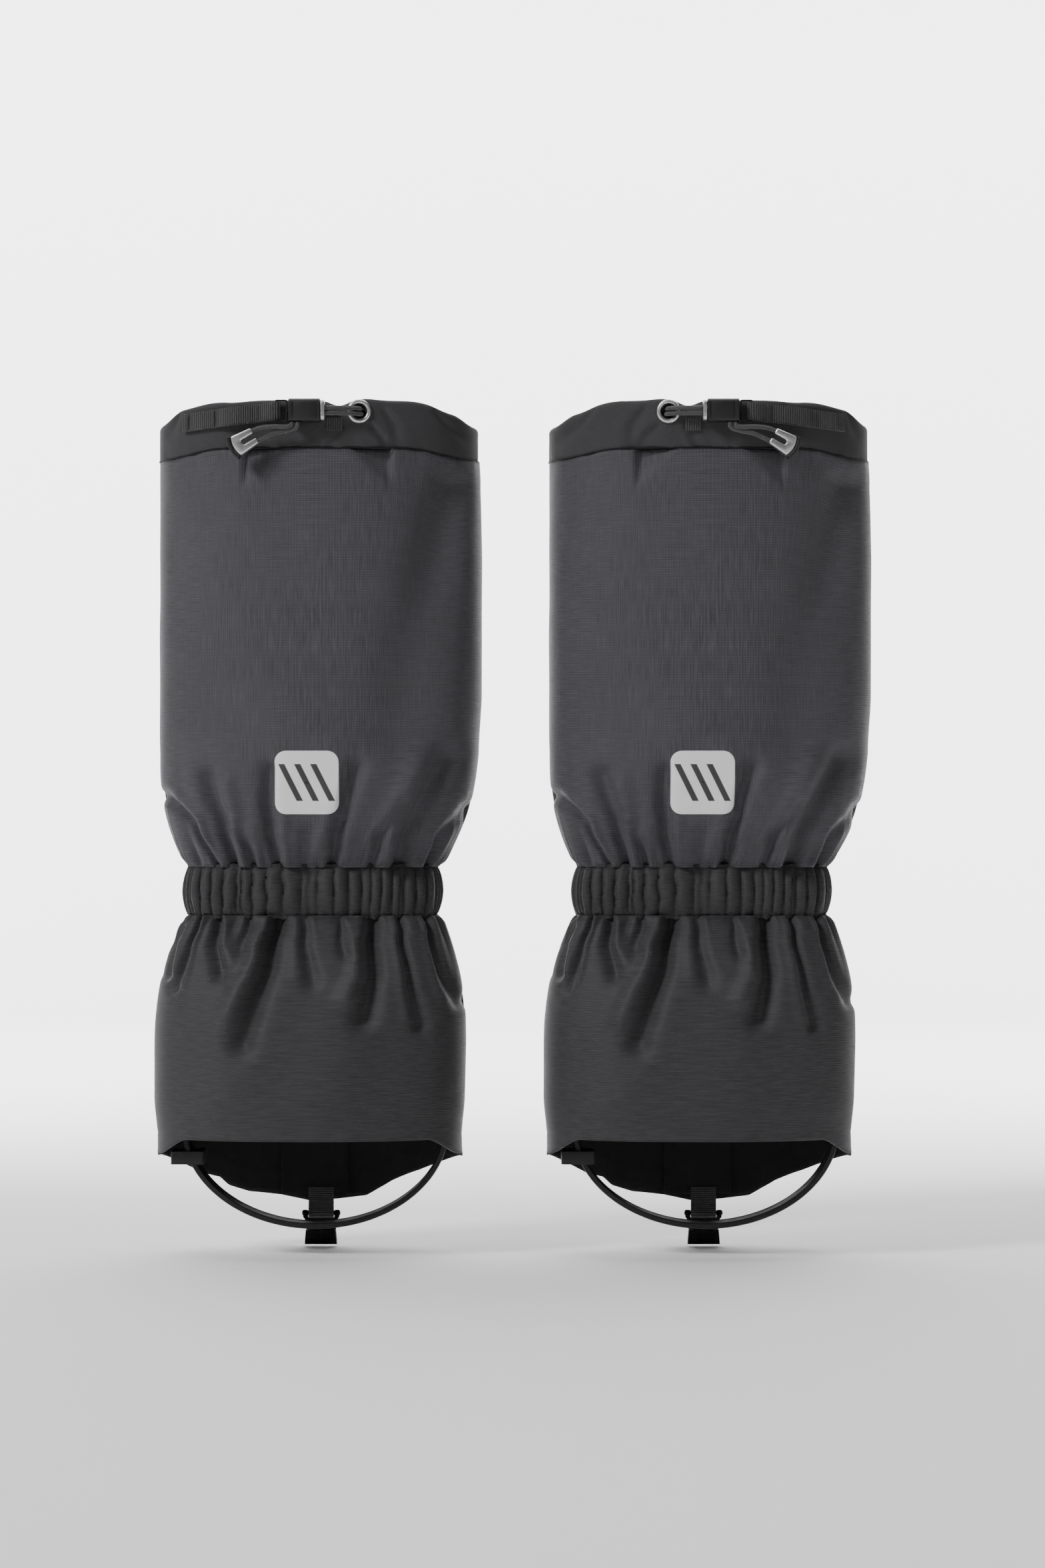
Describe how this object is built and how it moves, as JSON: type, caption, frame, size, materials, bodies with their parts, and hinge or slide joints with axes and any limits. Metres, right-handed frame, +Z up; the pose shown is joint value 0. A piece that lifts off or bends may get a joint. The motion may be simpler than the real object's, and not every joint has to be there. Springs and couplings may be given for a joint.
{
  "type": "gaiters",
  "caption": "Trekking gaiters: flared fabric sleeves with drawcord collars, gathered ankle bands, front closures, lace hooks and instep straps.",
  "frame": {"origin": "midway between the two leg axes, level with the rear hem of the skirts", "axes": "+Z up the legs, +Y to the toes, +X to the wearer's right as worn"},
  "size_m": [0.382, 0.1039, 0.4565],
  "materials": {
    "upper_fabric": "matt coated ripstop weave, charcoal grey",
    "collar_fabric": "plain weave, darker charcoal, lightly puckered",
    "band_fabric": "gathered stretch fabric, near black",
    "skirt_fabric": "ribbed matt weave, dark charcoal",
    "inner_elastic": "knitted black elastic",
    "inner_fabric": "black coated inside face",
    "hook_and_loop": "black hook and loop tape",
    "webbing": "ribbed black-grey webbing",
    "drawcord": "braided round elastic cord",
    "lock_plastic": "moulded black nylon, slight sheen",
    "bright_metal": "brushed silver metal",
    "dark_metal": "black painted metal",
    "strap_rubber": "smooth black coated strap"
  },
  "bodies": {
    "left_gaiter": {"left_upper_shell": "upper_fabric", "left_collar_band": "collar_fabric", "left_ankle_band": "band_fabric", "left_ankle_elastic": "inner_elastic", "left_lower_skirt": "skirt_fabric", "left_closure_underlap": "inner_fabric", "left_loop_tape": "hook_and_loop", "left_press_stud_post": "dark_metal", "left_collar_eyelet": "bright_metal", "left_drawcord_outer_run": "drawcord", "left_drawcord_inner_run": "drawcord", "left_cord_lock_barrel": "lock_plastic", "left_cord_lock_spring": "bright_metal", "left_cord_lock_mouth": "bright_metal", "left_lock_webbing": "webbing", "left_lock_keeper_tab": "webbing", "left_strap_anchor_tab": "webbing", "left_buckle_anchor_tab": "webbing"},
    "left_plunger": {"left_cord_lock_plunger": "lock_plastic"},
    "left_tail": {"left_tail_strand_upper": "drawcord", "left_tail_strand_lower": "drawcord"},
    "left_cord_end": {"left_cord_end_clip": "bright_metal", "left_cord_end_base": "lock_plastic"},
    "left_hook_tab": {"left_hook_tab": "webbing"},
    "left_lace_hook": {"left_lace_hook": "dark_metal"},
    "left_strap": {"left_instep_strap": "strap_rubber", "left_strap_buckle": "lock_plastic"},
    "left_flap": {"left_closure_flap": "upper_fabric", "left_hook_tape": "hook_and_loop", "left_press_stud_cap": "dark_metal"},
    "right_gaiter": {"right_upper_shell": "upper_fabric", "right_collar_band": "collar_fabric", "right_ankle_band": "band_fabric", "right_ankle_elastic": "inner_elastic", "right_lower_skirt": "skirt_fabric", "right_closure_underlap": "inner_fabric", "right_loop_tape": "hook_and_loop", "right_press_stud_post": "dark_metal", "right_collar_eyelet": "bright_metal", "right_drawcord_outer_run": "drawcord", "right_drawcord_inner_run": "drawcord", "right_cord_lock_barrel": "lock_plastic", "right_cord_lock_spring": "bright_metal", "right_cord_lock_mouth": "bright_metal", "right_lock_webbing": "webbing", "right_lock_keeper_tab": "webbing", "right_strap_anchor_tab": "webbing", "right_buckle_anchor_tab": "webbing"},
    "right_plunger": {"right_cord_lock_plunger": "lock_plastic"},
    "right_tail": {"right_tail_strand_upper": "drawcord", "right_tail_strand_lower": "drawcord"},
    "right_cord_end": {"right_cord_end_clip": "bright_metal", "right_cord_end_base": "lock_plastic"},
    "right_hook_tab": {"right_hook_tab": "webbing"},
    "right_lace_hook": {"right_lace_hook": "dark_metal"},
    "right_strap": {"right_instep_strap": "strap_rubber", "right_strap_buckle": "lock_plastic"},
    "right_flap": {"right_closure_flap": "upper_fabric", "right_hook_tape": "hook_and_loop", "right_press_stud_cap": "dark_metal"}
  },
  "joints": [
    {"name": "right_gaiter_apart", "type": "slide", "parent": "left_gaiter", "child": "right_gaiter", "axis": [1, 0, 0], "range_m": [0, 0.2]},
    {"name": "left_plunger_pull", "type": "slide", "parent": "left_gaiter", "child": "left_plunger", "axis": [-1, 0, 0], "range_m": [0, 0.0025], "stiffness_N_per_m": 300, "deforming": ["left_cord_lock_spring"]},
    {"name": "left_tail_swing", "type": "hinge", "parent": "left_gaiter", "child": "left_tail", "pos_m": [-0.1155, -0.052, 0.3798], "axis": [0, 1, 0], "range_deg": [-50, 8]},
    {"name": "left_cord_pull", "type": "slide", "parent": "left_tail", "child": "left_cord_end", "axis": [-0.8686, 0, -0.4955], "range_m": [0, 0.035], "deforming": ["left_tail_strand_upper", "left_tail_strand_lower"]},
    {"name": "left_hook_tab_flex", "type": "hinge", "parent": "left_gaiter", "child": "left_hook_tab", "pos_m": [-0.106, 0.0406, -0.0414], "axis": [1, 0, 0], "range_deg": [-15, 70]},
    {"name": "left_lace_hook_pivot", "type": "hinge", "parent": "left_hook_tab", "child": "left_lace_hook", "pos_m": [-0.106, 0.0406, -0.0465], "axis": [1, 0, 0], "range_deg": [-15, 60]},
    {"name": "left_strap_swing", "type": "hinge", "parent": "left_gaiter", "child": "left_strap", "pos_m": [-0.105, 0, 0.01], "axis": [1, 0, 0], "range_deg": [-18, 8]},
    {"name": "left_flap_open", "type": "hinge", "parent": "left_gaiter", "child": "left_flap", "pos_m": [-0.081, 0.043, 0.17], "axis": [0, 0, -1], "range_deg": [0, 150]},
    {"name": "right_plunger_pull", "type": "slide", "parent": "right_gaiter", "child": "right_plunger", "axis": [1, 0, 0], "range_m": [0, 0.0025], "stiffness_N_per_m": 300, "deforming": ["right_cord_lock_spring"]},
    {"name": "right_tail_swing", "type": "hinge", "parent": "right_gaiter", "child": "right_tail", "pos_m": [0.1155, -0.052, 0.3798], "axis": [0, -1, 0], "range_deg": [-50, 8]},
    {"name": "right_cord_pull", "type": "slide", "parent": "right_tail", "child": "right_cord_end", "axis": [0.8686, 0, -0.4955], "range_m": [0, 0.035], "deforming": ["right_tail_strand_upper", "right_tail_strand_lower"]},
    {"name": "right_hook_tab_flex", "type": "hinge", "parent": "right_gaiter", "child": "right_hook_tab", "pos_m": [0.104, 0.0406, -0.0414], "axis": [1, 0, 0], "range_deg": [-15, 70]},
    {"name": "right_lace_hook_pivot", "type": "hinge", "parent": "right_hook_tab", "child": "right_lace_hook", "pos_m": [0.104, 0.0406, -0.0465], "axis": [1, 0, 0], "range_deg": [-15, 60]},
    {"name": "right_strap_swing", "type": "hinge", "parent": "right_gaiter", "child": "right_strap", "pos_m": [0.105, 0, 0.01], "axis": [1, 0, 0], "range_deg": [-18, 8]},
    {"name": "right_flap_open", "type": "hinge", "parent": "right_gaiter", "child": "right_flap", "pos_m": [0.129, 0.043, 0.17], "axis": [0, 0, -1], "range_deg": [0, 150]}
  ]
}
